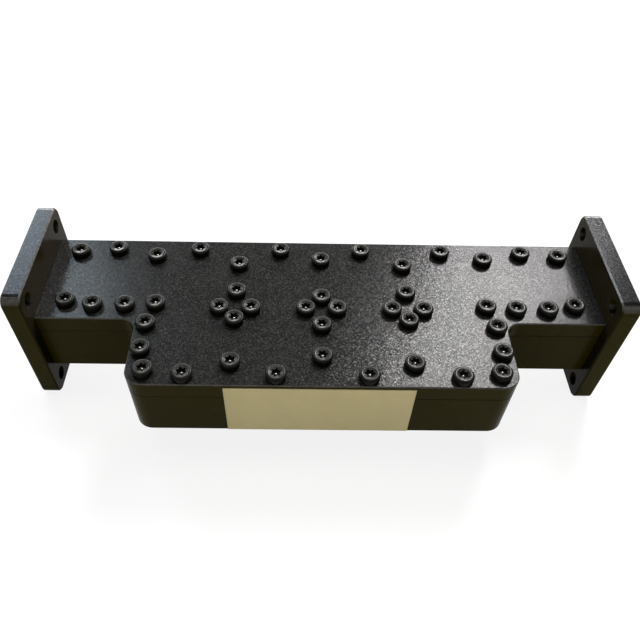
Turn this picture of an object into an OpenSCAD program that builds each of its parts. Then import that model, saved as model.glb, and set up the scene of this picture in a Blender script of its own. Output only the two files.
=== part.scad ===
// Waveguide band-pass filter with two square flanges, a milled housing and a screwed lid.
// X runs along the filter from the left port's mating face, Z points out of the lid,
// and Y points away from the wide front side. The port axis is the line Y = 0, Z = 0.

/* [Waveguide ports] */
// Broad inside wall of the waveguide at each port, along Y
port_width = 22.86; // [20:0.01:25]
// Narrow inside wall of the waveguide, which is also the depth of every cavity
port_height = 10.16; // [9:0.01:12]
// Length of full waveguide between the port iris and the flange
port_run = 5.3; // [4:0.1:20]
// Radius in the corners of the port opening
port_corner = 0.8; // [0.4:0.1:1.5]

/* [Flanges] */
// Side of each square flange
flange_size = 41.4; // [41:0.1:50]
// Thickness of each flange
flange_thickness = 5.3; // [3:0.1:8]
// Radius of the flange corners
flange_corner = 3; // [1:0.1:4]
// Diameter of the flange holes
flange_hole = 4.3; // [3.5:0.05:5]
// Distance between flange holes along the broad wall
flange_hole_span_y = 31; // [30.5:0.01:32]
// Distance between flange holes along the narrow wall
flange_hole_span_z = 32.5; // [31:0.01:33]
// Edge break round both faces of a flange
flange_chamfer = 0.4; // [0.2:0.1:1]

/* [Housing] */
// Width of the two arms, which carry the port waveguide
arm_width = 33.5; // [31:0.1:36]
// Thickness of the floor under the cavities
floor_thickness = 5.3; // [3:0.01:7]
// Wall in front of the front row of cavities
front_wall = 5.55; // [4.5:0.05:8]
// Wall at each end of the front row of cavities
end_wall = 5.45; // [4.5:0.05:8]
// Radius of the two outer corners of the wide block
block_corner = 5; // [2:0.1:6]
// Radius in the inner corner between an arm and the wide block
step_corner = 4; // [2:0.1:5]

/* [Cavities] */
// Distance between the irises of neighbouring columns
column_pitch = 24.6; // [23.5:0.1:28]
// Wall between neighbouring cavities of a row
iris_wall = 4.6; // [4:0.1:5.5]
// Distance between the centre lines of the two rows
row_pitch = 24.35; // [23.5:0.05:28]
// Distance of the back row's centre line from the port axis, toward the front
row_shift = 0.3; // [0:0.1:1]
// Width of the cavities of the back row, across the row
back_cavity_width = 19.6; // [18.5:0.1:20]
// Width of the cavities of the front row, across the row
front_cavity_width = 19; // [17.5:0.1:19.5]
// Width of the cavity in each arm
arm_cavity_width = 18.8; // [17.5:0.1:20]
// Length of the cavity in each arm
arm_cavity_length = 19.4; // [18:0.1:22]
// Radius that the milling cutter leaves in the cavity corners
cutter_radius = 3; // [2:0.1:3.5]

/* [Irises] */
// Opening between the port waveguide and the arm cavity
port_iris = 16; // [12:0.1:17]
// Opening between an arm cavity and the back row
arm_iris = 13.3; // [11:0.1:15]
// Opening in the back row left and right of the middle
back_side_iris = 6.7; // [6:0.1:9]
// Opening in the middle of the back row
back_middle_iris = 10.9; // [9:0.1:12]
// Opening in the front row left and right of the middle
front_side_iris = 10.7; // [9:0.1:11.5]
// Opening in the middle of the front row
front_middle_iris = 6.5; // [5.5:0.1:8.5]
// Opening between the back and the front cavity of each column
column_iris = 10.8; // [9.5:0.1:11.5]

/* [Lid] */
// Thickness of the lid
lid_thickness = 5.2; // [3:0.01:6.5]
// Gap between each end of the lid and the flange
lid_gap = 0.05; // [0.02:0.01:0.3]
// Edge break round the top of the lid and the bottom of the housing
edge_break = 0.3; // [0.1:0.05:0.6]
// Edge break on both sides of the seam between the lid and the housing
seam_break = 0.15; // [0.05:0.05:0.3]
// Diameter of the screw clearance holes in the lid
lid_hole = 3.4; // [3.2:0.1:3.6]

/* [Screws] */
// Thread diameter
thread_size = 3; // [2.5:0.1:3.1]
// Length below the head
screw_length = 10; // [8:0.5:13]
// Diameter of the head
head_size = 5.7; // [5:0.1:5.9]
// Height of the head
head_height = 2; // [1.8:0.1:3]
// Radius of the head's rounded top edge
head_round = 0.65; // [0.4:0.05:0.7]
// Size of the star socket over its lobes
socket_size = 2.8; // [2.4:0.05:2.9]
// Size of the star socket between its valleys
socket_core = 2.05; // [1.8:0.05:2.2]
// Radius of each valley of the star socket
socket_valley = 0.6; // [0.4:0.05:0.7]
// Depth of the star socket
socket_depth = 1.3; // [0.8:0.1:1.5]
// Diameter of the dish round the mouth of the star socket
dish_size = 4; // [3.2:0.05:4.1]
// Depth of the dish where it meets the valleys of the socket
dish_depth = 0.25; // [0.1:0.05:0.4]
// Edge break at the end of the thread
screw_tip = 0.4; // [0.2:0.05:0.6]
// Turn of the socket from one screw of a group to the next, in degrees
turn_step = 47; // [0:1:59]
// Distance from the edge of a cavity or iris to the axis of its screw
screw_land = 2.4; // [2.3:0.05:2.6]
// The same distance for the screws behind the back row and in the end walls
wall_land = 2.2; // [2.1:0.05:2.6]
// Radial clearance between a screw and its threaded hole
thread_clearance = 0.05; // [0.02:0.01:0.1]
// Depth of a threaded hole past the end of its screw
hole_margin = 1.5; // [0.5:0.1:2]
// Distance between the two front screws of an arm
arm_screw_pitch = 9.2; // [8:0.1:10]
// Shift of the two front screws of an arm toward the middle
arm_front_shift = 0.6; // [0:0.1:1]
// Shift of the back screw of an arm toward the port
arm_back_shift = 0.7; // [0:0.1:1]
// Shift of the screw behind the iris of an arm toward the port
arm_iris_shift = 0.5; // [0:0.1:0.8]
// Distance of the first step screw from the port axis
step_screw_start = 18.9; // [18.5:0.1:19.5]
// Distance between the two step screws on the end wall
step_screw_pitch = 9.2; // [8:0.1:10]

/* [Label] */
// Length of the label
label_length = 50.8; // [30:0.1:70]
// Bare strip of the front wall above the label
label_top_margin = 1; // [0.5:0.05:4]
// Bare strip of the front wall below the label
label_bottom_margin = 0.35; // [0.3:0.05:4]
// Thickness of the label
label_thickness = 0.2; // [0.1:0.05:0.5]
// Shift of the label from the middle toward the left port
label_shift = 0.75; // [-5:0.05:5]

/* [Hidden] */
$fn = 48;
// Overlap that lets a cut run clear of a face
past = 1;
lobes = 6;
// Direction of a corner screw from the middle of its cavity's corner arc
corner_screw_angle = 50;
// Full angle at the bottom of a drilled hole
drill_angle = 118;

iris_half = iris_wall / 2;
columns = [-1.5 : 1 : 1.5];
block_iris_x = 2 * column_pitch;
cavity_end_x = block_iris_x - iris_half;
block_end_x = cavity_end_x + end_wall;
arm_middle_x = block_iris_x + iris_half + arm_cavity_length / 2;
port_iris_x = arm_middle_x + arm_cavity_length / 2 + iris_half;
flange_inner_x = port_iris_x + iris_half + port_run;
half_length = flange_inner_x + flange_thickness;

back_row_y = -row_shift;
front_row_y = back_row_y - row_pitch;
back_cavity_y = back_row_y + back_cavity_width / 2;
septum_back_y = back_row_y - back_cavity_width / 2;
septum_front_y = front_row_y + front_cavity_width / 2;
septum_y = (septum_back_y + septum_front_y) / 2;
front_cavity_y = front_row_y - front_cavity_width / 2;
block_front_y = front_cavity_y - front_wall;
arm_half = arm_width / 2;

roof_z = port_height / 2;
lid_top_z = roof_z + lid_thickness;
floor_z = -port_height / 2;
bottom_z = floor_z - floor_thickness;
hole_depth = screw_length - lid_thickness + hole_margin;

// Screws of the right half of each row, from the middle outward, as [x, y]
outer_back_y = back_cavity_y + wall_land;
outer_front_y = front_cavity_y - screw_land;
column_x = column_pitch / 2;
arm_screw_y = arm_cavity_width / 2 + screw_land;
port_screw_y = port_iris / 2 + screw_land;
corner_reach = cutter_radius + screw_land;
corner_shift = corner_reach * [cos(corner_screw_angle), -sin(corner_screw_angle)];
corner_arc_x = cavity_end_x - cutter_radius;

back_middle = [0, back_row_y + back_middle_iris / 2 + screw_land];
back_half = [
    [column_x, outer_back_y],
    [column_pitch, back_row_y + back_side_iris / 2 + screw_land],
    [3 * column_x, outer_back_y],
    [block_iris_x + arm_iris_shift, back_row_y + arm_iris / 2 + screw_land],
    [arm_middle_x + arm_back_shift, outer_back_y],
    [port_iris_x, port_screw_y]
];
front_middle = [0, front_row_y - front_middle_iris / 2 - screw_land];
front_half = [
    [column_x, outer_front_y],
    [column_pitch, front_row_y - front_side_iris / 2 - screw_land],
    [3 * column_x, outer_front_y]
];
arm_front = [
    [corner_arc_x, septum_back_y + cutter_radius] + corner_shift,
    [arm_middle_x - arm_front_shift - arm_screw_pitch / 2, -arm_screw_y],
    [arm_middle_x - arm_front_shift + arm_screw_pitch / 2, -arm_screw_y],
    [port_iris_x, -port_screw_y]
];
step_side = [
    [cavity_end_x + wall_land, -step_screw_start],
    [cavity_end_x + wall_land, -step_screw_start - step_screw_pitch],
    [corner_arc_x, front_cavity_y + cutter_radius] + corner_shift
];

// The four screws in the posts where an iris wall meets the wall between the rows
function post(x, back_iris, front_iris) = [
    [x, back_row_y - back_iris / 2 - screw_land],
    [x - column_x + column_iris / 2 + screw_land, septum_y],
    [x + column_x - column_iris / 2 - screw_land, septum_y],
    [x, front_row_y + front_iris / 2 + screw_land]
];

// The same places on the left half, in the opposite order
function mirrored(places) = [for (i = [len(places) - 1 : -1 : 0]) [-places[i].x, places[i].y]];

screw_groups = [
    ["back_screw", concat(mirrored(back_half), [back_middle], back_half)],
    ["left_arm_screw", mirrored(arm_front)],
    ["right_arm_screw", arm_front],
    ["left_step_screw", mirrored(step_side)],
    ["right_step_screw", step_side],
    ["left_post_screw", post(-column_pitch, back_side_iris, front_side_iris)],
    ["centre_post_screw", post(0, back_middle_iris, front_middle_iris)],
    ["right_post_screw", post(column_pitch, back_side_iris, front_side_iris)],
    ["front_screw", concat(mirrored(front_half), [front_middle], front_half)]
];
screw_places = [for (group = screw_groups) for (place = group[1]) place];

housing_colour = "#27241d";
lid_colour = "#4a4b50";
screw_colour = "#1b1b1a";
label_colour = "#c6bd96";

// Moves a piece from the middle of the filter to the left port's mating face
module placed() {
    translate([half_length, 0, 0]) children();
}

// Both ends, as a right end and its mirror image
module both_ends() {
    children();
    mirror([1, 0, 0]) children();
}

// Rectangle with round corners, in the middle of the XY plane
module rounded_rectangle(size, radius) {
    square([size.x - 2 * radius, size.y], center = true);
    square([size.x, size.y - 2 * radius], center = true);
    for (x = [-1, 1], y = [-1, 1])
        translate([x * (size.x / 2 - radius), y * (size.y / 2 - radius)]) circle(radius);
}

// Outside edge of a slab from its bottom to its top, with both edges broken, as [distance, height]
function edge_profile(edge, height, low, high) = [
    [edge - low, 0],
    [edge, low],
    [edge, height - high],
    [edge - high, height]
];

// Section across a slab from one edge to the other
function slab_section(from, to, height, low, high) = concat(
    edge_profile(to, height, low, high),
    [for (i = [3 : -1 : 0]) let (p = edge_profile(-from, height, low, high)[i]) [-p.x, p.y]]
);

// Inner corner of the slab, between an arm and the wide block
module step_fillet(height, low, high) {
    reach = step_corner + max(low, high);
    translate([block_end_x + step_corner, -arm_half - step_corner, 0]) difference() {
        translate([-reach, 0, 0]) cube([reach, reach, height]);
        rotate_extrude() polygon([
            [0, -past],
            [step_corner + low + past, -past],
            [step_corner, low],
            [step_corner, height - high],
            [step_corner + high + past, height + past],
            [0, height + past]
        ]);
    }
}

// Slab with the outline that the lid and the housing share between the flanges
module body_slab(end_x, height, low, high) {
    straight_front = block_end_x - block_corner;
    straight_side = -block_front_y - block_corner;
    rotate([90, 0, 90]) {
        linear_extrude(2 * end_x, center = true)
            polygon(slab_section(-arm_half, arm_half, height, low, high));
        linear_extrude(2 * straight_front, center = true)
            polygon(slab_section(block_front_y, 0, height, low, high));
    }
    rotate([90, 0, 0]) linear_extrude(straight_side)
        polygon(slab_section(-block_end_x, block_end_x, height, low, high));
    both_ends() {
        translate([straight_front, -straight_side, 0]) rotate_extrude()
            polygon(concat([[0, 0]], edge_profile(block_corner, height, low, high), [[0, height]]));
        step_fillet(height, low, high);
    }
}

// Plate with round corners and both edges broken, standing on the XY plane
module flange_plate() {
    half = flange_size / 2;
    inner = half - flange_corner;
    t = flange_thickness;
    c = flange_chamfer;
    for (turn = [0, 90])
        rotate([90, 0, turn]) linear_extrude(2 * inner, center = true)
            polygon(slab_section(-half, half, t, c, c));
    for (x = [-1, 1], y = [-1, 1])
        translate([x * inner, y * inner]) rotate_extrude()
            polygon(concat([[0, 0]], edge_profile(flange_corner, t, c, c), [[0, t]]));
}

// Flange at the right end, with its four screw holes and the port opening
module flange() {
    translate([flange_inner_x, 0, 0]) rotate([90, 0, 90]) difference() {
        flange_plate();
        translate([0, 0, -past]) {
            for (x = [-1, 1], y = [-1, 1])
                translate([x * flange_hole_span_y / 2, y * flange_hole_span_z / 2])
                    cylinder(d = flange_hole, h = flange_thickness + 2 * past);
            linear_extrude(flange_thickness + 2 * past)
                rounded_rectangle([port_width, port_height], port_corner);
        }
    }
}

// One cavity as the cutter leaves it
module cavity(x, y, length, width) {
    translate([x, y]) rounded_rectangle([length, width], cutter_radius);
}

// Opening through the wall between two cavities of a row
module row_iris(x, y, opening) {
    translate([x, y]) square([iris_wall + 2 * cutter_radius, opening], center = true);
}

// Full waveguide between the port iris and the flange, round in its two inner corners
module port_channel() {
    translate([port_iris_x + iris_half, 0]) difference() {
        translate([0, -port_width / 2]) square([port_run, port_width]);
        for (side = [0, 1])
            mirror([0, side]) translate([0, -port_width / 2]) difference() {
                square(cutter_radius);
                translate([cutter_radius, cutter_radius]) circle(cutter_radius);
            }
    }
}

// Everything that is milled out of the housing from above
module cavity_outline() {
    for (column = columns) {
        x = column * column_pitch;
        cavity(x, back_row_y, column_pitch - iris_wall, back_cavity_width);
        cavity(x, front_row_y, column_pitch - iris_wall, front_cavity_width);
        translate([x - column_iris / 2, front_row_y]) square([column_iris, row_pitch]);
    }
    row_iris(0, back_row_y, back_middle_iris);
    row_iris(0, front_row_y, front_middle_iris);
    both_ends() {
        row_iris(column_pitch, back_row_y, back_side_iris);
        row_iris(column_pitch, front_row_y, front_side_iris);
        row_iris(block_iris_x, back_row_y, arm_iris);
        cavity(arm_middle_x, 0, arm_cavity_length, arm_cavity_width);
        row_iris(port_iris_x, 0, port_iris);
        port_channel();
    }
}

// Drilled hole for one screw, with the cone that the drill leaves
module threaded_hole() {
    radius = thread_size / 2 + thread_clearance;
    tip = radius / tan(drill_angle / 2);
    translate([0, 0, -hole_depth]) cylinder(r = radius, h = hole_depth + past);
    translate([0, 0, -hole_depth - tip]) cylinder(r1 = 0, r2 = radius, h = tip);
}

module housing() {
    color(housing_colour) placed() difference() {
        union() {
            translate([0, 0, bottom_z])
                body_slab(flange_inner_x, roof_z - bottom_z, edge_break, seam_break);
            both_ends() flange();
        }
        translate([0, 0, floor_z]) linear_extrude(port_height + past) cavity_outline();
        for (place = screw_places)
            translate([place.x, place.y, roof_z]) threaded_hole();
    }
}

module lid() {
    color(lid_colour) placed() translate([0, 0, roof_z]) difference() {
        body_slab(flange_inner_x - lid_gap, lid_thickness, seam_break, edge_break);
        for (place = screw_places)
            translate([place.x, place.y, -past]) cylinder(d = lid_hole, h = lid_thickness + 2 * past);
    }
}

// Star with round valleys between its lobes
module star_socket() {
    difference() {
        circle(d = socket_size);
        for (i = [1 : lobes])
            rotate((i + 0.5) * 360 / lobes)
                translate([socket_core / 2 + socket_valley, 0]) circle(socket_valley);
    }
}

// What is pressed into a head: the star, and the dish round its mouth
module socket_cut() {
    dish = dish_size / 2;
    cone_depth = dish_depth * dish / (dish - socket_core / 2);
    cone_height = cone_depth + past;
    translate([0, 0, -socket_depth]) linear_extrude(socket_depth + past) star_socket();
    translate([0, 0, -cone_depth]) cylinder(r1 = 0, r2 = dish * cone_height / cone_depth, h = cone_height);
}

module lid_screw() {
    head = head_size / 2;
    thread = thread_size / 2;
    color(screw_colour) {
        translate([0, 0, screw_tip - screw_length]) cylinder(r = thread, h = screw_length - screw_tip);
        translate([0, 0, -screw_length]) cylinder(r1 = thread - screw_tip, r2 = thread, h = screw_tip);
        difference() {
            rotate_extrude() {
                square([head, head_height - head_round]);
                square([head - head_round, head_height]);
                translate([head - head_round, head_height - head_round]) circle(head_round);
            }
            translate([0, 0, head_height]) socket_cut();
        }
    }
}

// Sticker on the front wall, over the seam between the housing and the lid
module label() {
    low_z = bottom_z + label_bottom_margin;
    color(label_colour) placed()
        translate([-label_shift - label_length / 2, block_front_y - label_thickness, low_z])
            cube([label_length, label_thickness, lid_top_z - label_top_margin - low_z]);
}

housing();
lid();
label();
for (group = screw_groups)
    for (i = [1 : len(group[1])])
        placed() translate([group[1][i - 1].x, group[1][i - 1].y, lid_top_z])
                rotate(i * turn_step) lid_screw();
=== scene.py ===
"""Bandpass filter in rectangular waveguide: finishes, lid screws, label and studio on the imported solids."""
import math

import bpy
from bpy.props import (
    FloatProperty,
    FloatVectorProperty,
    PointerProperty,
)
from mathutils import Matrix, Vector


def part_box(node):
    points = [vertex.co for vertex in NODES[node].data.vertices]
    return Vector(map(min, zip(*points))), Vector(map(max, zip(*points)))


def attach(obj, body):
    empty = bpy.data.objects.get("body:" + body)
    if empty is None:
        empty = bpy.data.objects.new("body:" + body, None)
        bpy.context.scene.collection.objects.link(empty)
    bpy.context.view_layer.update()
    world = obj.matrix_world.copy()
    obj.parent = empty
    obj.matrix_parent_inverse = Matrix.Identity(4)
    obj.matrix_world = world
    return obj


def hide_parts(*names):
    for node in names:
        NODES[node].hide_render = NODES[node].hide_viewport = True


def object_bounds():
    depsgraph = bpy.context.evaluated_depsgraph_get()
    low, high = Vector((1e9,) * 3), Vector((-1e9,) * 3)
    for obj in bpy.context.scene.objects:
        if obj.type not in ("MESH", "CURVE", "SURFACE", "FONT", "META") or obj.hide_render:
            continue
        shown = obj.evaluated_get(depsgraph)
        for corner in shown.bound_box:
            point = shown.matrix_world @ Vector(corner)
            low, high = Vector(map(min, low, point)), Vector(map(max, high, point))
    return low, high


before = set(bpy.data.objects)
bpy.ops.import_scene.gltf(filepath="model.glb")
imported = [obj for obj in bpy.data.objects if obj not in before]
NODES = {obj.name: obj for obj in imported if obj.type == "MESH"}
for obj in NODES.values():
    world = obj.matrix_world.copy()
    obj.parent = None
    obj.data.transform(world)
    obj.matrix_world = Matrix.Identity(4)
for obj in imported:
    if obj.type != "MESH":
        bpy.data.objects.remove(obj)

bl_info = {
    "name": "Waveguide Filter Finisher",
    "version": (1, 0, 0),
    "blender": (4, 5, 0),
    "location": "3D View > Sidebar > Filter",
    "description": "Finishes, lid screws, label and studio for a bandpass filter in rectangular waveguide",
    "category": "Object",
}

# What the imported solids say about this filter, in metres.
SCREW_NODES = sorted(name for name in NODES if "_screw_" in name)
FILTER_LOW, FILTER_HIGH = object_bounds()
FILTER_MIDDLE = (FILTER_LOW + FILTER_HIGH) / 2
LID_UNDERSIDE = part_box("lid")[0][2]
LID_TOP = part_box("lid")[1][2]
SCREW_LOW, SCREW_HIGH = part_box(SCREW_NODES[0])
LABEL_LOW, LABEL_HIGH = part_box("label")

# A point this near to a surface of the solids counts as on it, in metres.
SLACK = 0.00004


# Settings that a user may change.


class PaintSettings(bpy.types.PropertyGroup):
    """Black paint on the housing and the lid, and the bare metal where the wave runs."""

    housing_colour: FloatVectorProperty(
        name="Housing Colour", description="Paint on the housing's level faces and back walls",
        subtype="COLOR", size=4, min=0, max=1, default=(0.0075, 0.0073, 0.0071, 1))
    lid_colour: FloatVectorProperty(
        name="Lid Colour", description="Paint on the lid's top and back edge",
        subtype="COLOR", size=4, min=0, max=1, default=(0.0138, 0.0136, 0.0127, 1))
    # Painted reflection: the front-facing walls are browner and lighter than the paint itself, standing in
    # for a brown surface mirrored in them.
    front_wall_reflection_colour: FloatVectorProperty(
        name="Wall Colour", description="The same paint on the walls that face the front, browner",
        subtype="COLOR", size=4, min=0, max=1, default=(0.0230, 0.0185, 0.0010, 1))
    # Painted shade: the end-facing walls, such as the flanges' inner faces, take this darker copy of the wall
    # colour.
    end_wall_shade_colour: FloatVectorProperty(
        name="End Colour", description="The same paint on the walls that face the ends",
        subtype="COLOR", size=4, min=0, max=1, default=(0.0095, 0.0070, 0.0030, 1))
    # Rubbed wear on the upward bevels, made lighter as a painted highlight of their edges.
    worn_and_highlit_colour: FloatVectorProperty(
        name="Worn Colour", description="Paint where the edges have been rubbed",
        subtype="COLOR", size=4, min=0, max=1, default=(0.10, 0.097, 0.090, 1))
    lid_sheen: FloatProperty(
        name="Lid Sheen", description="Metal-like share of the shine on the lid's top",
        subtype="FACTOR", min=0, max=1, default=0.33)
    housing_sheen: FloatProperty(
        name="Housing Sheen", description="Metal-like share of the shine on the housing's level faces",
        subtype="FACTOR", min=0, max=1, default=0.50)
    paint_reflection: FloatProperty(
        name="Paint Reflection", description="Reflection of the paint seen straight on",
        subtype="FACTOR", min=0, max=1, default=0.02)
    metal_colour: FloatVectorProperty(
        name="Metal Colour", description="Bare metal of the mating faces, channel and cavities",
        subtype="COLOR", size=4, min=0, max=1, default=(0.62, 0.61, 0.58, 1))
    housing_roughness: FloatProperty(
        name="Housing Roughness", description="Roughness of the housing's paint",
        subtype="FACTOR", min=0, max=1, default=0.20)
    lid_roughness: FloatProperty(
        name="Lid Roughness", description="Roughness of the lid's paint",
        subtype="FACTOR", min=0, max=1, default=0.19)
    grain_size: FloatProperty(
        name="Grain Size", description="Size of one grain of the textured paint",
        subtype="DISTANCE", unit="LENGTH", min=0.00005, max=0.003, default=0.00027)
    grain_contrast: FloatProperty(
        name="Grain Contrast", description="How much darker most grains are than the paint",
        subtype="FACTOR", min=0, max=1, default=0.52)
    grain_tilt: FloatProperty(
        name="Grain Tilt", description="How far the most uneven grains lean, as a slope",
        min=0, max=1, default=0.04)
    grain_height: FloatProperty(
        name="Grain Height", description="How far a grain stands up",
        subtype="DISTANCE", unit="LENGTH", min=0, max=0.0004, default=0.00003)
    channel_width: FloatProperty(
        name="Channel Width", description="Width of the waveguide channel",
        subtype="DISTANCE", unit="LENGTH", min=0.01, max=0.05, default=0.02286)
    channel_height: FloatProperty(
        name="Channel Height", description="Height of the waveguide channel",
        subtype="DISTANCE", unit="LENGTH", min=0.004, max=0.03, default=0.01016)
    cavity_end: FloatProperty(
        name="Cavity End", description="From mid-length to the end wall of the cavities",
        subtype="DISTANCE", unit="LENGTH", min=0.01, max=0.09, default=0.0469)
    cavity_front: FloatProperty(
        name="Cavity Front", description="Place across of the front cavities' front wall",
        subtype="DISTANCE", unit="LENGTH", min=-0.06, max=0, default=-0.03415)


class ScrewSettings(bpy.types.PropertyGroup):
    """One low-head screw with a six-lobe socket, repeated at each of the lid's holes."""

    head_diameter: FloatProperty(
        name="Head Diameter", description="Diameter of the head",
        subtype="DISTANCE", unit="LENGTH", min=0.003, max=0.01, default=SCREW_HIGH[0] - SCREW_LOW[0])
    head_height: FloatProperty(
        name="Head Height", description="Height of the head above the lid",
        subtype="DISTANCE", unit="LENGTH", min=0.001, max=0.006, default=SCREW_HIGH[2] - LID_TOP)
    rim_round: FloatProperty(
        name="Rim Round", description="Radius of the rounded rim of the head",
        subtype="DISTANCE", unit="LENGTH", min=0.0001, max=0.0015, default=0.00065)
    dish_diameter: FloatProperty(
        name="Dish Diameter", description="Diameter of the shallow dish round the socket",
        subtype="DISTANCE", unit="LENGTH", min=0.003, max=0.0045, default=0.0040)
    dish_depth: FloatProperty(
        name="Dish Depth", description="Depth of the dish where it meets the socket's ribs",
        subtype="DISTANCE", unit="LENGTH", min=0, max=0.0006, default=0.00025)
    socket_lobes: FloatProperty(
        name="Socket Across Lobes", description="Width of the socket over two opposite lobes",
        subtype="DISTANCE", unit="LENGTH", min=0.001, max=0.004, default=0.0029)
    socket_core: FloatProperty(
        name="Socket Across Ribs", description="Width of the socket between two opposite ribs",
        subtype="DISTANCE", unit="LENGTH", min=0.001, max=0.004, default=0.00205)
    socket_depth: FloatProperty(
        name="Socket Depth", description="Depth of the socket's straight walls",
        subtype="DISTANCE", unit="LENGTH", min=0.0003, max=0.004, default=0.0013)
    socket_edge: FloatProperty(
        name="Socket Edge", description="Width of the worn edge between the socket and the dish",
        subtype="DISTANCE", unit="LENGTH", min=0, max=0.0002, default=0.00005)
    shank_diameter: FloatProperty(
        name="Shank Diameter", description="Outside diameter of the threaded shank",
        subtype="DISTANCE", unit="LENGTH", min=0.001, max=0.006, default=0.003)
    shank_length: FloatProperty(
        name="Shank Length", description="From the underside of the head to the tip",
        subtype="DISTANCE", unit="LENGTH", min=0.002, max=0.03, default=LID_TOP - SCREW_LOW[2])
    turn_step: FloatProperty(
        name="Turn Step", description="Turn from one screw of a group to the next",
        subtype="ANGLE", unit="ROTATION", min=0, max=math.pi, default=math.radians(47))
    steel_colour: FloatVectorProperty(
        name="Steel Colour", description="Black oxide on the steel",
        subtype="COLOR", size=4, min=0, max=1, default=(0.0085, 0.0082, 0.0062, 1))
    polish_colour: FloatVectorProperty(
        name="Polish Colour", description="Black oxide burnished by the driver, in and round the socket",
        subtype="COLOR", size=4, min=0, max=1, default=(0.120, 0.118, 0.108, 1))
    steel_roughness: FloatProperty(
        name="Steel Roughness", description="Roughness of the black oxide",
        subtype="FACTOR", min=0, max=1, default=0.22)


class LabelSettings(bpy.types.PropertyGroup):
    """The plain satin label on the front wall."""

    foil_colour: FloatVectorProperty(
        name="Foil Colour", description="Satin face of the label",
        subtype="COLOR", size=4, min=0, max=1, default=(0.43, 0.365, 0.163, 1))
    edge_colour: FloatVectorProperty(
        name="Edge Colour", description="Handled margin of the label",
        subtype="COLOR", size=4, min=0, max=1, default=(0.31, 0.265, 0.14, 1))
    foil_roughness: FloatProperty(
        name="Foil Roughness", description="Roughness of the label's face",
        subtype="FACTOR", min=0, max=1, default=0.42)
    margin: FloatProperty(
        name="Margin", description="Width of the darker margin",
        subtype="DISTANCE", unit="LENGTH", min=0, max=0.005, default=0.0005)


class StudioSettings(bpy.types.PropertyGroup):
    """Floor, soft lights, surroundings and camera."""

    floor_colour: FloatVectorProperty(
        name="Floor Colour", description="Pale floor as the other surfaces see it",
        subtype="COLOR", size=4, min=0, max=1, default=(0.80, 0.78, 0.75, 1))
    sky_colour: FloatVectorProperty(
        name="Sky Colour", description="Even light from all round",
        subtype="COLOR", size=4, min=0, max=1, default=(0.94, 0.97, 1.0, 1))
    sky_strength: FloatProperty(
        name="Sky Strength", description="Strength of the even light",
        min=0, max=2, default=0.15)
    back_right_power: FloatProperty(
        name="Back Right Power", description="Power of the large soft light behind on the right",
        subtype="POWER", unit="POWER", min=0, max=100, default=16.5)
    back_left_power: FloatProperty(
        name="Back Left Power", description="Power of the cool soft light behind on the left",
        subtype="POWER", unit="POWER", min=0, max=100, default=4.8)
    low_back_power: FloatProperty(
        name="Low Back Power", description="Power of the long low strip of light far behind",
        subtype="POWER", unit="POWER", min=0, max=100, default=22.0)
    top_power: FloatProperty(
        name="Top Power", description="Power of the long soft light overhead",
        subtype="POWER", unit="POWER", min=0, max=100, default=3.5)
    front_power: FloatProperty(
        name="Front Power", description="Power of the wide fill above the camera",
        subtype="POWER", unit="POWER", min=0, max=100, default=1.0)
    camera_place: FloatVectorProperty(
        name="Camera Place", description="Where the camera stands",
        subtype="TRANSLATION", unit="LENGTH", size=3, default=(0.079489, -0.138490, 0.143115))
    camera_turn: FloatVectorProperty(
        name="Camera Turn", description="How the camera is turned",
        subtype="EULER", unit="ROTATION", size=3,
        default=tuple(math.radians(a) for a in (38.78771, -1.06190, -0.00350)))
    camera_lens: FloatProperty(
        name="Camera Lens", description="Focal length in millimetres for a sensor 36 mm wide",
        min=10, max=200, default=35.861)
    camera_shift: FloatVectorProperty(
        name="Camera Shift", description="Sideways and upward shift of the view",
        size=2, default=(0.020299, 0.066515))


# Node trees.


class NodeTree:
    """A node tree that starts empty, and short calls for its nodes."""

    def __init__(self, tree):
        tree.nodes.clear()
        self.tree = tree

    def node(self, kind, **settings):
        made = self.tree.nodes.new(kind)
        for name, value in settings.items():
            setattr(made, name, value)
        return made

    def join(self, source, target):
        self.tree.links.new(source, target)

    def feed(self, target, value):
        """Joins a socket to the target, or gives the target a plain value."""
        if isinstance(value, bpy.types.NodeSocket):
            self.join(value, target)
        else:
            target.default_value = value

    def feed_all(self, targets, values):
        for target, value in zip(targets, values):
            self.feed(target, value)

    def math(self, operation, first, second=0.0, third=0.0):
        made = self.node("ShaderNodeMath", operation=operation)
        self.feed_all(made.inputs, (first, second, third))
        return made.outputs[0]


# Finishes.

# Where one kind of face turns into the next, as the part of its normal that points up, endward or back.
LEVEL_FACE = (0.55, 0.90)
END_FACE = (0.55, 0.90)
FRONT_FACE = (-0.80, -0.30)
BEVEL_START = (0.25, 0.55)
BEVEL_END = (0.80, 0.97)

# Each noise below is given by its size in metres, its detail and its roughness. A span says between which
# of its values a feature goes from nothing to its full strength.

# Wear on the upward bevels, which also carries a painted highlight: how far below the lid's top it starts,
# its patches and its strength.
RUBBED_BELOW = 0.001
WEAR_NOISE = (0.0016, 3.0, 0.6)
WEAR_SPAN = (0.35, 0.65)
WEAR_LEAST = 0.6
WEAR_AND_HIGHLIGHT_SHARE = 0.60

# Grain of the paint: how rare bright grains are, how bright they get, and its tone and lean on walls.
GLINT_POWER = 3.0
GLINT_GAIN = 3
WALL_GRAIN = 0.3
WALL_LEAN = 0.2

# How the paint's roughness changes, by a noise of the grain's size: detail and roughness.
DULL_NOISE = (3.0, 0.62)
DULL_SPAN = (0.30, 0.72)
DULL_CHANGE = (-0.05, 0.07)

# The paint's low relief: its size in grains, then detail and roughness.
RELIEF_GRAINS = 3.6
RELIEF_NOISE = (2.0, 0.5)

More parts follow.
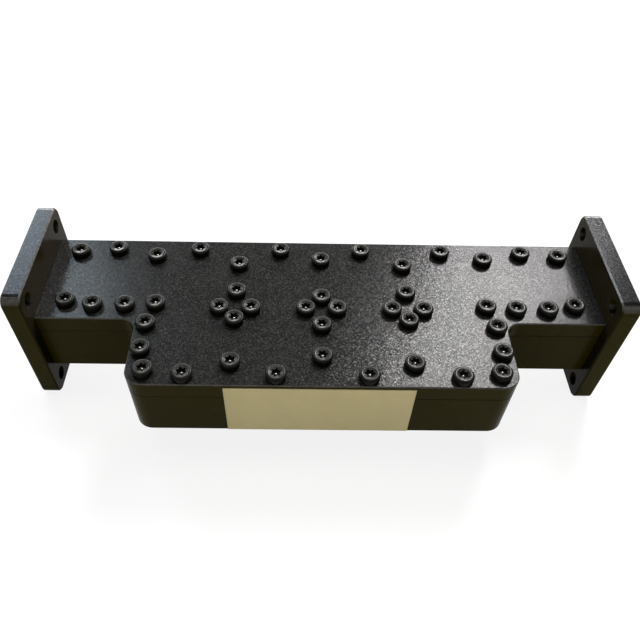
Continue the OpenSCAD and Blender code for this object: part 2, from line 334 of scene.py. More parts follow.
# Faint clouds in the paint, their strength, and how much paler they are.
PAINT_CLOUD_NOISE = (0.012, 3.0, 0.55)
PAINT_CLOUD_SPAN = (0.35, 0.70)
PAINT_CLOUD_SHARE = 0.12
PAINT_CLOUD_GAIN = 1.6

# Pale specks of dust: distance, radius as a share of it, share of places left empty, strength, colour.
DUST_DISTANCE = 0.0042
DUST_RADIUS = 0.030
DUST_EMPTY = 0.93
DUST_SHARE = 0.55
DUST_COLOUR = (0.35, 0.34, 0.32, 1)

# Cutter marks along the bare metal with the roughness that they make, and its stains.
MARK_NOISE = (0.0009, 2.0, 0.5)
MARK_STRETCH = (0.15, 1.0, 1.0)
MARK_SPAN = (0.3, 0.7)
MARK_ROUGHNESS = (0.26, 0.40)
MARK_HEIGHT = 0.000004
STAIN_NOISE = (0.006, 3.0, 0.55)
STAIN_SPAN = (0.35, 0.7)
STAIN_SHADE = 0.86

# The attribute of the screws that says where they are burnished.
SHINE = "shine"

# Black oxide on the screws: its clouds, its fine relief and its reflection seen straight on.
OXIDE_CLOUD_NOISE = (0.0012, 3.0, 0.6)
OXIDE_CLOUD_SPAN = (0.35, 0.68)
OXIDE_CLOUD_SHADE = 0.6
OXIDE_DULL_SPAN = (0.3, 0.7)
OXIDE_DULL_CHANGE = (-0.05, 0.08)
OXIDE_RELIEF_NOISE = (0.00018, 2.0, 0.5)
OXIDE_RELIEF_HEIGHT = 0.000004
OXIDE_REFLECTION = 0.04

# The label's foil: its grain, its clouds, the strength of its margin and its metal-like share.
FOIL_GRAIN_NOISE = (0.00022, 3.0, 0.6)
FOIL_GRAIN_STRETCH = (0.10, 1.0, 1.0)
FOIL_GRAIN_SPAN = (0.38, 0.72)
FOIL_GRAIN_SHARE = 0.5
FOIL_GRAIN_SHADE = 0.90
FOIL_GRAIN_HEIGHT = 0.000003
FOIL_DULL_SPAN = (0.3, 0.7)
FOIL_DULL_CHANGE = (-0.05, 0.05)
FOIL_CLOUD_NOISE = (0.011, 2.0, 0.5)
FOIL_CLOUD_SPAN = (0.3, 0.7)
FOIL_CLOUD_SHADE = 0.93
FOIL_MARGIN_SHARE = 0.55
FOIL_METALLIC = 0.25


class Finish(NodeTree):
    """A material with a Principled surface, and short calls for the nodes that feed it."""

    def __init__(self, name):
        self.material = bpy.data.materials.new(name)
        self.material.use_nodes = True
        super().__init__(self.material.node_tree)
        self.surface = self.node("ShaderNodeBsdfPrincipled")
        output = self.node("ShaderNodeOutputMaterial")
        self.join(self.surface.outputs["BSDF"], output.inputs["Surface"])
        coordinates = self.node("ShaderNodeTexCoord")
        self.place = coordinates.outputs["Object"]
        self.facing = coordinates.outputs["Normal"]

    def vector(self, operation, first, second=(0, 0, 0), third=(0, 0, 0)):
        made = self.node("ShaderNodeVectorMath", operation=operation)
        self.feed_all(made.inputs, (first, second, third))
        return made.outputs[0]

    def parts(self, vector):
        """The three parts of a vector or a colour."""
        made = self.node("ShaderNodeSeparateXYZ")
        self.join(vector, made.inputs[0])
        return made.outputs

    def stretched(self, scale):
        """The place on the object, with each axis multiplied by its scale."""
        made = self.node("ShaderNodeMapping")
        self.join(self.place, made.inputs["Vector"])
        made.inputs["Scale"].default_value = scale
        return made.outputs["Vector"]

    def noise(self, size, detail, rough, at=None):
        """Cloudy noise whose features are about size metres across."""
        made = self.node("ShaderNodeTexNoise")
        self.join(at or self.place, made.inputs["Vector"])
        made.inputs["Scale"].default_value = 1 / size
        made.inputs["Detail"].default_value = detail
        made.inputs["Roughness"].default_value = rough
        return made.outputs["Fac"]

    def cells(self, size):
        """Cells about size metres across, each with a colour by chance."""
        made = self.node("ShaderNodeTexVoronoi", feature="F1")
        self.join(self.place, made.inputs["Vector"])
        made.inputs["Scale"].default_value = 1 / size
        return made

    def spread(self, value, low, high, to_low=0.0, to_high=1.0):
        """A smooth step: to_low where the value is low or less, to_high where it is high or more."""
        made = self.node("ShaderNodeMapRange", interpolation_type="SMOOTHSTEP")
        for name, number in (("Value", value), ("From Min", low), ("From Max", high),
                             ("To Min", to_low), ("To Max", to_high)):
            self.feed(made.inputs[name], number)
        return made.outputs["Result"]

    def mix(self, kind, weight, low, high):
        """A mix of two numbers, vectors or colours: low at weight 0, high at weight 1."""
        made = self.node("ShaderNodeMix", data_type=kind)
        wanted = "VALUE" if kind == "FLOAT" else kind
        pair = [socket for socket in made.inputs if socket.type == wanted and socket.name in ("A", "B")]
        self.feed(made.inputs["Factor"], weight)
        self.feed_all(pair, (low, high))
        return [socket for socket in made.outputs if socket.type == wanted][0]

    def blend(self, weight, low, high):
        """A mix of two colours."""
        return self.mix("RGBA", weight, low, high)

    def bump(self, height, distance, under=None):
        """The normal of a relief that stands up by distance, on top of the normal under."""
        made = self.node("ShaderNodeBump")
        self.join(height, made.inputs["Height"])
        made.inputs["Distance"].default_value = distance
        made.inputs["Strength"].default_value = 1.0
        if under is not None:
            self.join(under, made.inputs["Normal"])
        return made.outputs["Normal"]

    def tilted_normal(self, grain_colour, tilt):
        """The surface's normal, leaned by chance: most grains hardly, a few by up to tilt."""
        lean = self.vector("MULTIPLY_ADD", grain_colour, (2.0, 2.0, 2.0), (-1.0, -1.0, -1.0))
        cubed = self.vector("MULTIPLY", lean, self.vector("MULTIPLY", lean, lean))
        scaled = self.node("ShaderNodeVectorMath", operation="SCALE")
        self.join(cubed, scaled.inputs[0])
        self.feed(scaled.inputs["Scale"], tilt)
        straight = self.node("ShaderNodeNewGeometry").outputs["Normal"]
        return self.vector("NORMALIZE", self.vector("ADD", straight, scaled.outputs[0]))

    def inside_box(self, low, high):
        """1 inside the box between the corners low and high, 0 outside."""
        middle = tuple((a + b) / 2 for a, b in zip(low, high))
        half = tuple((b - a) / 2 for a, b in zip(low, high))
        away = self.vector("ABSOLUTE", self.vector("SUBTRACT", self.place, middle))
        room = self.parts(self.vector("SUBTRACT", half, away))
        least = self.math("MINIMUM", self.math("MINIMUM", room[0], room[1]), room[2])
        return self.math("GREATER_THAN", least, 0.0)

    def rubbed_and_highlit_edges(self):
        """1 on the upper bevels from the lid's top upwards, 0 on the flat faces."""
        level = self.parts(self.facing)[2]
        rise = self.spread(level, *BEVEL_START)
        bevel = self.math("MULTIPLY", rise, self.spread(level, *BEVEL_END, 1.0, 0.0))
        high = self.math("GREATER_THAN", self.parts(self.place)[2], LID_TOP - RUBBED_BELOW)
        return self.math("MULTIPLY", bevel, high)


def colour(value):
    return tuple(value)


def shaded(value, factor):
    """The colour made darker, or lighter, by the factor."""
    return tuple(min(1.0, part * factor) for part in value[:3]) + (1,)


def around(value, changes):
    """The value with each of the changes added to it."""
    return tuple(value + change for change in changes)


def put_on(node, material):
    """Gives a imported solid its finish, in every slot of its object."""
    piece = NODES[node]
    for slot in piece.material_slots:
        slot.material = material
    if not piece.material_slots:
        raise RuntimeError(f"{node} has no material slot")


def textured_paint(finish, settings, base, roughness, level_sheen):
    """Black textured paint: fine grain, faint clouds, a few pale specks, rubbed edges lightened also as a
    painted highlight, a painted brown reflection on the front-facing walls and painted shade on the
    end-facing walls.

    Returns its colour, roughness, normal and metal-like share.
    """
    size = settings.grain_size
    crumbs = finish.cells(size)
    chance = finish.parts(crumbs.outputs["Color"])[0]
    glints = finish.math("POWER", chance, GLINT_POWER)
    dim = settings.grain_contrast
    mottled = finish.blend(glints, shaded(base, 1 - dim), shaded(base, 1 + GLINT_GAIN * dim))
    across, back, up = finish.parts(finish.facing)
    upward = finish.spread(up, *LEVEL_FACE)
    endward = finish.spread(finish.math("ABSOLUTE", across), *END_FACE)
    forward = finish.spread(back, *FRONT_FACE, 1.0, 0.0)
    # Front-facing walls take a browner, lighter colour as a painted reflection of a brown surface in front of
    # them.
    wall = settings.front_wall_reflection_colour
    upright = finish.blend(forward, base, colour(wall))
    # End-facing walls take the darker copy, as painted shade.
    upright = finish.blend(endward, upright, colour(settings.end_wall_shade_colour))
    wall_glints = finish.math("MULTIPLY", chance, WALL_GRAIN)
    speckled_wall = finish.blend(wall_glints, upright, shaded(wall, WALL_GRAIN))
    tone = finish.blend(upward, speckled_wall, mottled)
    clouds = finish.noise(*PAINT_CLOUD_NOISE)
    cloudy = finish.spread(clouds, *PAINT_CLOUD_SPAN, 0.0, PAINT_CLOUD_SHARE)
    tone = finish.blend(cloudy, tone, shaded(base, PAINT_CLOUD_GAIN))
    specks = finish.cells(DUST_DISTANCE)
    dot = finish.math("LESS_THAN", specks.outputs["Distance"], DUST_RADIUS)
    picked = finish.math("GREATER_THAN", finish.parts(specks.outputs["Color"])[0], DUST_EMPTY)
    dust = finish.math("MULTIPLY", dot, picked)
    tone = finish.blend(finish.math("MULTIPLY", dust, DUST_SHARE), tone, DUST_COLOUR)
    # The upward bevels are lightened: rubbed wear, and also a painted highlight.
    patchy = finish.spread(finish.noise(*WEAR_NOISE), *WEAR_SPAN, WEAR_LEAST, 1.0)
    worn = finish.math("MULTIPLY", finish.rubbed_and_highlit_edges(), patchy)
    tone = finish.blend(finish.math("MULTIPLY", worn, WEAR_AND_HIGHLIGHT_SHARE), tone, colour(settings.worn_and_highlit_colour))
    grains = finish.noise(size, *DULL_NOISE)
    dull = finish.spread(grains, *DULL_SPAN, *around(roughness, DULL_CHANGE))
    most = settings.grain_tilt
    lean = finish.spread(upward, 0, 1, most * WALL_LEAN, most)
    tilted = finish.tilted_normal(crumbs.outputs["Color"], lean)
    swell = finish.noise(size * RELIEF_GRAINS, *RELIEF_NOISE)
    relief = finish.bump(swell, settings.grain_height, under=tilted)
    sheen = finish.math("MULTIPLY", upward, level_sheen)
    finish.surface.inputs["Specular IOR Level"].default_value = settings.paint_reflection
    return tone, dull, relief, sheen


def bare_metal(finish, settings):
    """Milled metal with fine cutter marks and stains: its colour, roughness and normal."""
    marks = finish.noise(*MARK_NOISE, at=finish.stretched(MARK_STRETCH))
    stains = finish.spread(finish.noise(*STAIN_NOISE), *STAIN_SPAN)
    clean = colour(settings.metal_colour)
    tone = finish.blend(stains, clean, shaded(clean, STAIN_SHADE))
    dull = finish.spread(marks, *MARK_SPAN, *MARK_ROUGHNESS)
    return tone, dull, finish.bump(marks, MARK_HEIGHT)


def painted_with_bare(name, settings, base, roughness, level_sheen, bare):
    """Paint everywhere but where bare, a call that returns a mask, says metal."""
    finish = Finish(name)
    paint_tone, paint_dull, paint_relief, sheen = textured_paint(
        finish, settings, base, roughness, level_sheen)
    metal_tone, metal_dull, metal_relief = bare_metal(finish, settings)
    mask = bare(finish)
    skin = finish.surface.inputs
    finish.join(finish.blend(mask, paint_tone, metal_tone), skin["Base Color"])
    finish.join(finish.math("MAXIMUM", mask, sheen), skin["Metallic"])
    finish.join(finish.mix("FLOAT", mask, paint_dull, metal_dull), skin["Roughness"])
    finish.join(finish.mix("VECTOR", mask, paint_relief, metal_relief), skin["Normal"])
    return finish.material


def black_oxide(settings):
    """Blackened steel with slight clouds, burnished where the screws' shine attribute says so."""
    finish = Finish("black_oxide_steel")
    base = colour(settings.steel_colour)
    clouds = finish.noise(*OXIDE_CLOUD_NOISE)
    shine = finish.node("ShaderNodeAttribute", attribute_name=SHINE).outputs["Fac"]
    skin = finish.surface.inputs
    cloudy = finish.spread(clouds, *OXIDE_CLOUD_SPAN)
    tone = finish.blend(cloudy, base, shaded(base, OXIDE_CLOUD_SHADE))
    finish.join(finish.blend(shine, tone, colour(settings.polish_colour)), skin["Base Color"])
    finish.join(shine, skin["Metallic"])
    skin["Specular IOR Level"].default_value = OXIDE_REFLECTION
    ends = around(settings.steel_roughness, OXIDE_DULL_CHANGE)
    finish.join(finish.spread(clouds, *OXIDE_DULL_SPAN, *ends), skin["Roughness"])
    relief = finish.bump(finish.noise(*OXIDE_RELIEF_NOISE), OXIDE_RELIEF_HEIGHT)
    finish.join(relief, skin["Normal"])
    return finish.material


def satin_label(settings):
    """Satin foil with a faint grain along its length and a darker handled margin."""
    finish = Finish("satin_label_foil")
    base = colour(settings.foil_colour)
    grain = finish.noise(*FOIL_GRAIN_NOISE, at=finish.stretched(FOIL_GRAIN_STRETCH))
    clouds = finish.spread(finish.noise(*FOIL_CLOUD_NOISE), *FOIL_CLOUD_SPAN)
    tone = finish.blend(clouds, base, shaded(base, FOIL_CLOUD_SHADE))
    streaks = finish.spread(grain, *FOIL_GRAIN_SPAN, 0.0, FOIL_GRAIN_SHARE)
    tone = finish.blend(streaks, tone, shaded(base, FOIL_GRAIN_SHADE))
    middle = tuple((LABEL_LOW + LABEL_HIGH) / 2)
    half = (LABEL_HIGH - LABEL_LOW) / 2
    away = finish.parts(finish.vector("ABSOLUTE", finish.vector("SUBTRACT", finish.place, middle)))
    side = finish.math("SUBTRACT", half[0], away[0])
    rise = finish.math("SUBTRACT", half[2], away[2])
    nearest = finish.math("MINIMUM", side, rise)
    rim = finish.spread(nearest, 0.0, settings.margin, FOIL_MARGIN_SHARE, 0.0)
    skin = finish.surface.inputs
    finish.join(finish.blend(rim, tone, colour(settings.edge_colour)), skin["Base Color"])
    skin["Metallic"].default_value = FOIL_METALLIC
    ends = around(settings.foil_roughness, FOIL_DULL_CHANGE)
    finish.join(finish.spread(grain, *FOIL_DULL_SPAN, *ends), skin["Roughness"])
    finish.join(finish.bump(grain, FOIL_GRAIN_HEIGHT), skin["Normal"])
    return finish.material


# Lid screws.


class ShapeTree(NodeTree):
    """A geometry node tree and its named inputs."""

    def __init__(self, name):
        super().__init__(bpy.data.node_groups.new(name, "GeometryNodeTree"))
        self.inputs = {}

    def add_input(self, name, kind, default=None, subtype=None):
        socket = self.tree.interface.new_socket(name, in_out="INPUT", socket_type=kind)
        if subtype:
            socket.subtype = subtype
        if default is not None:
            socket.default_value = default
        self.inputs[name] = socket.identifier

    def start(self):
        """Opens the tree's entry, once its inputs are all named."""
        self.entry = self.tree.nodes.new("NodeGroupInput")

    def given(self, name):
        """What comes in by the input of this name."""
        return self.entry.outputs[name]

    def pick(self, index, values):
        """The value whose number is index."""
        made = self.node("GeometryNodeIndexSwitch", data_type="FLOAT")
        while len(made.index_switch_items) < len(values):
            made.index_switch_items.new()
        self.feed(made.inputs[0], index)
        self.feed_all(made.inputs[1:], values)
        return made.outputs[0]


# One screw's skin: the lines along it, the steps of its rounded rim, how near points are joined.
SEGMENTS = 72
RIM_STEPS = 6
MERGE_DISTANCE = 0.000002

# The star socket: how many lobes it has, and how sharp they are.
LOBES = 6.0
LOBE_SHARPNESS = 1.35

# The rise on the socket's floor: its height against the socket's depth, and each of its rings as
# share of the lobes' radius, share of the rise's height, shine.
RISE_SHARE = 0.5
RISE_RINGS = ((0.12, 0.96, 1.0), (0.22, 0.84, 1.0), (0.31, 0.60, 0.6), (0.38, 0.20, 0.1))

# The foot of the socket's wall: share of the lobes' radius, height over the floor.
FOOT_RINGS = ((0.90, -0.00004), (0.965, 0.00005))

# Shine of the socket's wall, of its worn edge with the dish, and of the ridge round the dish.
WALL_SHINE = 0.03
DISH_SHINE = 0.05
RIDGE_SHINE = 0.5

# Share of the star left at the outer line of the worn edge.
EDGE_STAR = 0.96

# How far the lines beside the dish's ridge lie inside and outside it.
RIDGE_INSIDE = 0.00005
RIDGE_OUTSIDE = 0.00006

# Roundings: the head's lower edge with its middle, the neck, and the bevel at the tip.
HEAD_FOOT = 0.00018
HEAD_FOOT_MIDDLE = 0.00005
NECK = 0.00015
TIP = 0.0004

# A screw's skin is smooth where its faces meet at less than this angle.
SMOOTH_ANGLE = math.radians(28)


def screw_rings(shape):
    """Radius, height, share of star, share of dish and shine of each ring, from the socket out."""
    head_radius = shape.math("MULTIPLY", shape.given("Head Diameter"), 0.5)
    height = shape.given("Head Height")
    rim = shape.given("Rim Round")
    lobe = shape.math("MULTIPLY", shape.given("Socket Across Lobes"), 0.5)
    depth = shape.given("Socket Depth")
    edge = shape.given("Socket Edge")
    dish = shape.math("MULTIPLY", shape.given("Dish Diameter"), 0.5)
    shank = shape.math("MULTIPLY", shape.given("Shank Diameter"), 0.5)
    floor = shape.math("SUBTRACT", height, depth)
    rise = shape.math("MULTIPLY", depth, RISE_SHARE)
    rings = [(0.0, shape.math("ADD", floor, rise), 0.0, 0.0, 1.0)]
    for out, share, shine in RISE_RINGS:
        up = shape.math("MULTIPLY_ADD", rise, share, floor)
        rings.append((shape.math("MULTIPLY", lobe, out), up, 0.0, 0.0, shine))
    for out, up in FOOT_RINGS:
        rings.append((shape.math("MULTIPLY", lobe, out), shape.math("ADD", floor, up), 1.0, 0.0, 0.0))
    rings += [
        (lobe, shape.math("SUBTRACT", height, edge), 1.0, 1.0, WALL_SHINE),
        (shape.math("ADD", lobe, edge), height, EDGE_STAR, 1.0, DISH_SHINE),
        (shape.math("SUBTRACT", dish, RIDGE_INSIDE), height, 0.0, 1.0, DISH_SHINE),
        (dish, height, 0.0, 1.0, RIDGE_SHINE),
        (shape.math("ADD", dish, RIDGE_OUTSIDE), height, 0.0, 0.0, 0.0),
    ]
    flat = shape.math("SUBTRACT", head_radius, rim)
    outline = []
    for step in range(RIM_STEPS + 1):
        angle = math.pi / 2 * step / RIM_STEPS
        out = shape.math("MULTIPLY_ADD", rim, math.sin(angle), flat)
        outline.append((out, shape.math("MULTIPLY_ADD", rim, math.cos(angle) - 1, height)))
    tip = shape.math("MULTIPLY", shape.given("Shank Length"), -1.0)
    outline += [
        (head_radius, HEAD_FOOT),
        (shape.math("SUBTRACT", head_radius, HEAD_FOOT_MIDDLE), HEAD_FOOT_MIDDLE),
        (shape.math("SUBTRACT", head_radius, HEAD_FOOT), 0.0),
        (shape.math("ADD", shank, NECK), 0.0),
        (shank, -NECK),
        (shank, shape.math("ADD", tip, TIP)),
        (shape.math("SUBTRACT", shank, TIP), tip),
        (0.0, tip),
    ]
    return rings + [(out, up, 0.0, 0.0, 0.0) for out, up in outline]


def screw_body(shape):
    """The closed skin of one screw: a grid of rings and spokes, wrapped round the axis."""
    rings = screw_rings(shape)
    grid = shape.node("GeometryNodeMeshGrid")
    grid.inputs["Vertices X"].default_value = len(rings)
    grid.inputs["Vertices Y"].default_value = SEGMENTS + 1
    index = shape.node("GeometryNodeInputIndex").outputs[0]
    ring = shape.math("FLOOR", shape.math("DIVIDE", shape.math("ADD", index, 0.5), SEGMENTS + 1))
    spoke = shape.math("SUBTRACT", index, shape.math("MULTIPLY", ring, SEGMENTS + 1))
    turn = shape.math("MULTIPLY", spoke, 2 * math.pi / SEGMENTS)
    radius, height, starry, dished, shine = (shape.pick(ring, column) for column in zip(*rings))
    ribs = shape.given("Socket Across Ribs")
    ratio = shape.math("DIVIDE", ribs, shape.given("Socket Across Lobes"))
    wave = shape.math("MULTIPLY_ADD", shape.math("COSINE", shape.math("MULTIPLY", turn, LOBES)), 0.5, 0.5)
    peak = shape.math("POWER", shape.math("MAXIMUM", wave, 0.0), LOBE_SHARPNESS)
    notch = shape.math("MULTIPLY", shape.math("SUBTRACT", 1.0, peak), shape.math("SUBTRACT", 1.0, ratio))
    star = shape.math("SUBTRACT", 1.0, shape.math("MULTIPLY", notch, starry))
    reach = shape.math("MULTIPLY", radius, star)
    dish = shape.given("Dish Diameter")
    run = shape.math("MULTIPLY", shape.math("SUBTRACT", dish, ribs), 0.5)
    slope = shape.math("DIVIDE", shape.given("Dish Depth"), run)
    inward = shape.math("MAXIMUM", shape.math("SUBTRACT", shape.math("MULTIPLY", dish, 0.5), reach), 0.0)
    sunk = shape.math("MULTIPLY", shape.math("MULTIPLY", inward, slope), dished)
    point = shape.node("ShaderNodeCombineXYZ")
    shape.feed(point.inputs[0], shape.math("MULTIPLY", reach, shape.math("COSINE", turn)))
    shape.feed(point.inputs[1], shape.math("MULTIPLY", reach, shape.math("SINE", turn)))
    shape.feed(point.inputs[2], shape.math("SUBTRACT", height, sunk))
    shiny = shape.node("GeometryNodeStoreNamedAttribute", data_type="FLOAT", domain="POINT")
    shiny.inputs["Name"].default_value = SHINE
    shape.feed(shiny.inputs["Geometry"], grid.outputs["Mesh"])
    shape.feed(shiny.inputs["Value"], shine)
    place = shape.node("GeometryNodeSetPosition")
    shape.feed(place.inputs["Geometry"], shiny.outputs["Geometry"])
    shape.feed(place.inputs["Position"], point.outputs[0])
    closed = shape.node("GeometryNodeMergeByDistance")
    shape.feed(closed.inputs["Geometry"], place.outputs["Geometry"])
    closed.inputs["Distance"].default_value = MERGE_DISTANCE
    smooth = shape.node("GeometryNodeSetShadeSmooth")
    shape.feed(smooth.inputs["Geometry"], closed.outputs["Geometry"])
    return smooth.outputs["Geometry"]


def screw_sizes(settings):
    """The lengths that shape a screw, by the names of the tree's inputs."""
    return {
        "Head Diameter": settings.head_diameter, "Head Height": settings.head_height,
        "Rim Round": settings.rim_round, "Dish Diameter": settings.dish_diameter,
        "Dish Depth": settings.dish_depth, "Socket Across Lobes": settings.socket_lobes,
        "Socket Across Ribs": settings.socket_core, "Socket Depth": settings.socket_depth,
        "Socket Edge": settings.socket_edge, "Shank Diameter": settings.shank_diameter,
        "Shank Length": settings.shank_length,
    }


def screw_tree(settings, material):
    """The node tree that puts one screw on each given place, turned by its number in its group."""
    shape = ShapeTree("lid_screw_tree")
    shape.add_input("Places", "NodeSocketGeometry")
    for name, value in screw_sizes(settings).items():
        shape.add_input(name, "NodeSocketFloat", value, "DISTANCE")
    shape.add_input("Turn Step", "NodeSocketFloat", settings.turn_step, "ANGLE")
    shape.tree.interface.new_socket("Screws", in_out="OUTPUT", socket_type="NodeSocketGeometry")
    shape.start()
    number = shape.node("GeometryNodeInputNamedAttribute", data_type="FLOAT")
    number.inputs["Name"].default_value = "number"
    upright = shape.node("ShaderNodeCombineXYZ")
    turn = shape.math("MULTIPLY", number.outputs["Attribute"], shape.given("Turn Step"))
    shape.feed(upright.inputs[2], turn)
    spread = shape.node("GeometryNodeInstanceOnPoints")
    shape.feed(spread.inputs["Points"], shape.given("Places"))
    shape.feed(spread.inputs["Instance"], screw_body(shape))
    shape.feed(spread.inputs["Rotation"], upright.outputs[0])
    real = shape.node("GeometryNodeRealizeInstances")
    shape.feed(real.inputs[0], spread.outputs[0])
    paint = shape.node("GeometryNodeSetMaterial")
    paint.inputs["Material"].default_value = material
    shape.feed(paint.inputs["Geometry"], real.outputs[0])
    leave = shape.node("NodeGroupOutput")
    shape.feed(leave.inputs[0], paint.outputs[0])
    return shape


# Steps.


class FILTER_OT_paint_solids(bpy.types.Operator):
    """Paint the housing and the lid, and leave the wave's surfaces bare"""

    bl_idname = "filter.paint_solids"
    bl_label = "Paint Housing and Lid"

    def execute(self, context):
        settings = context.scene.filter_paint
        middle_x = FILTER_MIDDLE[0]
        side = settings.channel_width / 2 + SLACK
        height = settings.channel_height / 2 + SLACK
        reach = settings.cavity_end + SLACK

        def bare_housing(finish):
            along = finish.parts(finish.place)[0]
            away = finish.math("ABSOLUTE", finish.math("SUBTRACT", along, middle_x))
            mating = finish.math("GREATER_THAN", away, FILTER_HIGH[0] - middle_x - SLACK)
            channel = finish.inside_box(
                (FILTER_LOW[0] - SLACK, -side, -height), (FILTER_HIGH[0] + SLACK, side, height))
            cavities = finish.inside_box(
                (middle_x - reach, settings.cavity_front - SLACK, -height),
                (middle_x + reach, 0.0, height))
            return finish.math("MAXIMUM", mating, finish.math("MAXIMUM", channel, cavities))

        def bare_lid(finish):
            return finish.math("LESS_THAN", finish.parts(finish.place)[2], LID_UNDERSIDE + SLACK)

        housing = painted_with_bare(
            "textured_black_paint_housing", settings, colour(settings.housing_colour),
            settings.housing_roughness, settings.housing_sheen, bare_housing)
        lid = painted_with_bare(
            "textured_black_paint_lid", settings, colour(settings.lid_colour),
            settings.lid_roughness, settings.lid_sheen, bare_lid)
        put_on("housing", housing)
        put_on("lid", lid)
        return {"FINISHED"}


class FILTER_OT_fit_screws(bpy.types.Operator):
    """Make one detailed screw with geometry nodes and fit it in each hole of the lid"""

    bl_idname = "filter.fit_screws"
    bl_label = "Fit Lid Screws"

    def execute(self, context):
        settings = context.scene.filter_screws
        steel = black_oxide(settings)
        places = bpy.data.meshes.new("lid_screw_places")
        points = []
        for name in SCREW_NODES:
            low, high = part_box(name)
            points.append(((low[0] + high[0]) / 2, (low[1] + high[1]) / 2, LID_TOP))
        places.from_pydata(points, [], [])
        numbers = [float(name.rsplit("_", 1)[1]) for name in SCREW_NODES]
        places.attributes.new("number", "FLOAT", "POINT").data.foreach_set("value", numbers)
        holder = bpy.data.objects.new("lid_screws", places)
        context.scene.collection.objects.link(holder)
        shape = screw_tree(settings, steel)
        modifier = holder.modifiers.new("screws", "NODES")
        modifier.node_group = shape.tree
        for name, value in screw_sizes(settings).items():
            modifier[shape.inputs[name]] = value
        modifier[shape.inputs["Turn Step"]] = settings.turn_step
        evaluated = holder.evaluated_get(context.evaluated_depsgraph_get())
        mesh = bpy.data.meshes.new_from_object(evaluated)
        holder.modifiers.clear()
        if len(mesh.polygons) < len(points) * SEGMENTS:
            raise RuntimeError("the screws came out empty")
        mesh.name = "lid_screws"
        holder.data = mesh
        bpy.data.meshes.remove(places)
        if outward_volume(mesh) < 0:
            mesh.flip_normals()
        mesh.set_sharp_from_angle(angle=SMOOTH_ANGLE)
        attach(holder, "root")
        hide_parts(*SCREW_NODES)
        return {"FINISHED"}


def outward_volume(mesh):
    """The volume inside a closed mesh, below zero where its faces point inwards."""
    mesh.calc_loop_triangles()
    corners = mesh.vertices
    total = 0.0
    for triangle in mesh.loop_triangles:
        a, b, c = (corners[i].co for i in triangle.vertices)
        total += a.dot(b.cross(c)) / 6
    return total


class FILTER_OT_finish_label(bpy.types.Operator):
    """Give the label on the front wall its plain satin face"""

    bl_idname = "filter.finish_label"
    bl_label = "Finish Label"

    def execute(self, context):
        put_on("label", satin_label(context.scene.filter_label))
        return {"FINISHED"}


# Soft lights: name, place from the filter's middle, size, the setting with the power, tint.
LIGHTS = (
    ("back_right_light", (0.301, 0.585, 0.69), (0.232, 0.38), "back_right_power", (0.98, 0.96, 1.0)),
    ("back_left_light", (-0.44, 0.60, 0.56), (0.24, 0.32), "back_left_power", (0.72, 0.86, 1.0)),
    ("low_back_light", (0.0, 0.95, 0.29), (1.20, 0.20), "low_back_power", (1.0, 1.0, 1.0)),
    ("overhead_light", (-0.05, 0.12, 0.76), (0.80, 0.14), "top_power", (1.0, 0.99, 0.97)),
    ("front_light", (-0.25, -0.80, 0.50), (0.90, 0.40), "front_power", (1.0, 0.95, 0.86)),
)

# The floor's half width, and the share of plain white in its look.
FLOOR_REACH = 4.0
FLOOR_WHITENESS = 0.86

# How the surroundings look to the camera and to mirrored and refracted rays.
PALE_SKY = (0.8, 0.8, 0.8, 1)

# The camera's sensor width in millimetres, and the nearest and farthest things that it sees.
SENSOR_WIDTH = 36
CAMERA_CLIP = (0.005, 50)


class FILTER_OT_set_studio(bpy.types.Operator):
    """Set the pale floor, the surroundings, the soft lights and the camera"""

    bl_idname = "filter.set_studio"
    bl_label = "Set Studio"

    def execute(self, context):
        settings = context.scene.filter_studio
        scene = context.scene
        lay_floor(scene, settings)
        surround(scene, settings)
        middle = FILTER_MIDDLE
        for name, place, size, power, tint in LIGHTS:
            watts = getattr(settings, power)
            hang_light(scene, name, middle + Vector(place), middle, size, watts, tint)
        camera = bpy.data.cameras.new("camera")
        camera.sensor_width = SENSOR_WIDTH
        camera.lens = settings.camera_lens
        camera.shift_x, camera.shift_y = settings.camera_shift
        camera.clip_start, camera.clip_end = CAMERA_CLIP
        holder = bpy.data.objects.new("camera", camera)
        holder.location = settings.camera_place
        holder.rotation_euler = settings.camera_turn
        scene.collection.objects.link(holder)
        scene.camera = holder
        scene.view_settings.view_transform = "Standard"
        return {"FINISHED"}


def mix_shaders(tree, weight, low, high):
    """The shader low at weight 0, the shader high at weight 1."""
    mix = tree.node("ShaderNodeMixShader")
    tree.feed_all(mix.inputs, (weight, low, high))
    return mix.outputs[0]


def seen_directly(tree):
    """1 for rays from the camera, and for mirrored and refracted ones."""
    path = tree.node("ShaderNodeLightPath").outputs
    mirrored = tree.math("MAXIMUM", path["Is Glossy Ray"], path["Is Transmission Ray"])
    return tree.math("MAXIMUM", path["Is Camera Ray"], mirrored)


def show(tree, output, plain, direct):
    """Ends a tree with one shader for rays that see it directly, and a plain one for all others."""
    choice = mix_shaders(tree, seen_directly(tree), plain, direct)
    tree.join(choice, tree.node(output).inputs[0])


def lay_floor(scene, settings):
    """A wide pale floor under the flanges' lower edges, white to the camera but for soft shadow."""
    corners = [(x * FLOOR_REACH, y * FLOOR_REACH, FILTER_LOW[2])
               for x, y in ((-1, -1), (1, -1), (1, 1), (-1, 1))]
    mesh = bpy.data.meshes.new("floor")
    mesh.from_pydata(corners, [], [(0, 1, 2, 3)])
    floor = bpy.data.objects.new("floor", mesh)
    scene.collection.objects.link(floor)
    material = bpy.data.materials.new("pale_floor")
    material.use_nodes = True
    tree = NodeTree(material.node_tree)
    matt = tree.node("ShaderNodeBsdfDiffuse")
    matt.inputs["Color"].default_value = settings.floor_colour
    white = tree.node("ShaderNodeEmission")
    lifted = mix_shaders(tree, FLOOR_WHITENESS, matt.outputs[0], white.outputs[0])
    show(tree, "ShaderNodeOutputMaterial", matt.outputs[0], lifted)
    mesh.materials.append(material)


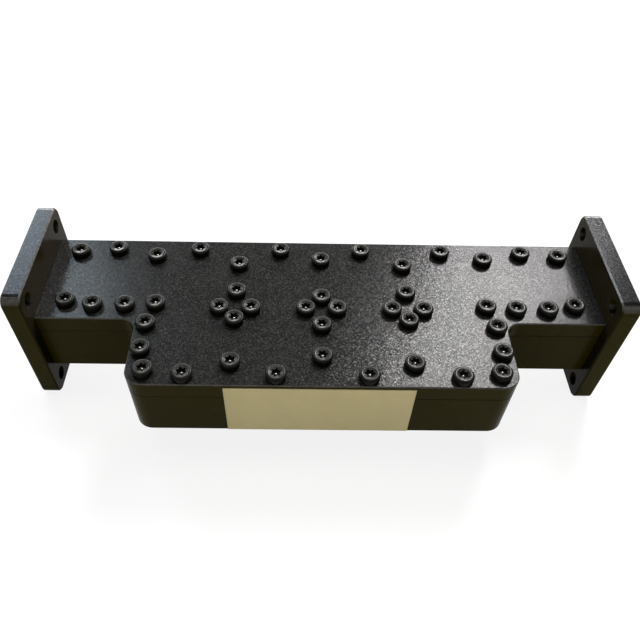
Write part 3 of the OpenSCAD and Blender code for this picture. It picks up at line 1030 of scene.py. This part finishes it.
def surround(scene, settings):
    """Even light from all round, which the camera and mirrored and refracted rays see as pale."""
    world = bpy.data.worlds.new("surroundings")
    world.use_nodes = True
    tree = NodeTree(world.node_tree)
    even = tree.node("ShaderNodeBackground")
    even.inputs["Color"].default_value = settings.sky_colour
    even.inputs["Strength"].default_value = settings.sky_strength
    pale = tree.node("ShaderNodeBackground")
    pale.inputs["Color"].default_value = PALE_SKY
    show(tree, "ShaderNodeOutputWorld", even.outputs[0], pale.outputs[0])
    scene.world = world


def hang_light(scene, name, place, target, size, power, tint):
    """A soft rectangular light that faces the filter."""
    light = bpy.data.lights.new(name, "AREA")
    light.shape = "RECTANGLE"
    light.size, light.size_y = size
    light.energy = power
    light.color = tint
    holder = bpy.data.objects.new(name, light)
    holder.location = place
    holder.rotation_euler = (target - place).to_track_quat("-Z", "Y").to_euler()
    scene.collection.objects.link(holder)


# Panel and registration.


class FILTER_PT_sidebar(bpy.types.Panel):
    """The filter's settings and steps"""

    bl_idname = "FILTER_PT_sidebar"
    bl_label = "Waveguide Filter"
    bl_space_type = "VIEW_3D"
    bl_region_type = "UI"
    bl_category = "Filter"

    def draw(self, context):
        for title, settings, step in SECTIONS:
            box = self.layout.box()
            box.label(text=title)
            group = getattr(context.scene, settings)
            for name in group.__annotations__:
                box.prop(group, name)
            box.operator(step)


SECTIONS = (
    ("Paint", "filter_paint", "filter.paint_solids"),
    ("Screws", "filter_screws", "filter.fit_screws"),
    ("Label", "filter_label", "filter.finish_label"),
    ("Studio", "filter_studio", "filter.set_studio"),
)

CLASSES = (
    PaintSettings,
    ScrewSettings,
    LabelSettings,
    StudioSettings,
    FILTER_OT_paint_solids,
    FILTER_OT_fit_screws,
    FILTER_OT_finish_label,
    FILTER_OT_set_studio,
    FILTER_PT_sidebar,
)


def register():
    for item in CLASSES:
        bpy.utils.register_class(item)
    bpy.types.Scene.filter_paint = PointerProperty(type=PaintSettings)
    bpy.types.Scene.filter_screws = PointerProperty(type=ScrewSettings)
    bpy.types.Scene.filter_label = PointerProperty(type=LabelSettings)
    bpy.types.Scene.filter_studio = PointerProperty(type=StudioSettings)


def unregister():
    for _, settings, _ in SECTIONS:
        delattr(bpy.types.Scene, settings)
    for item in reversed(CLASSES):
        bpy.utils.unregister_class(item)


def main():
    """Run every step in order."""
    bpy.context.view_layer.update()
    register()
    bpy.ops.filter.set_studio()
    bpy.ops.filter.paint_solids()
    bpy.ops.filter.fit_screws()
    bpy.ops.filter.finish_label()


if __name__ == "__main__":
    main()
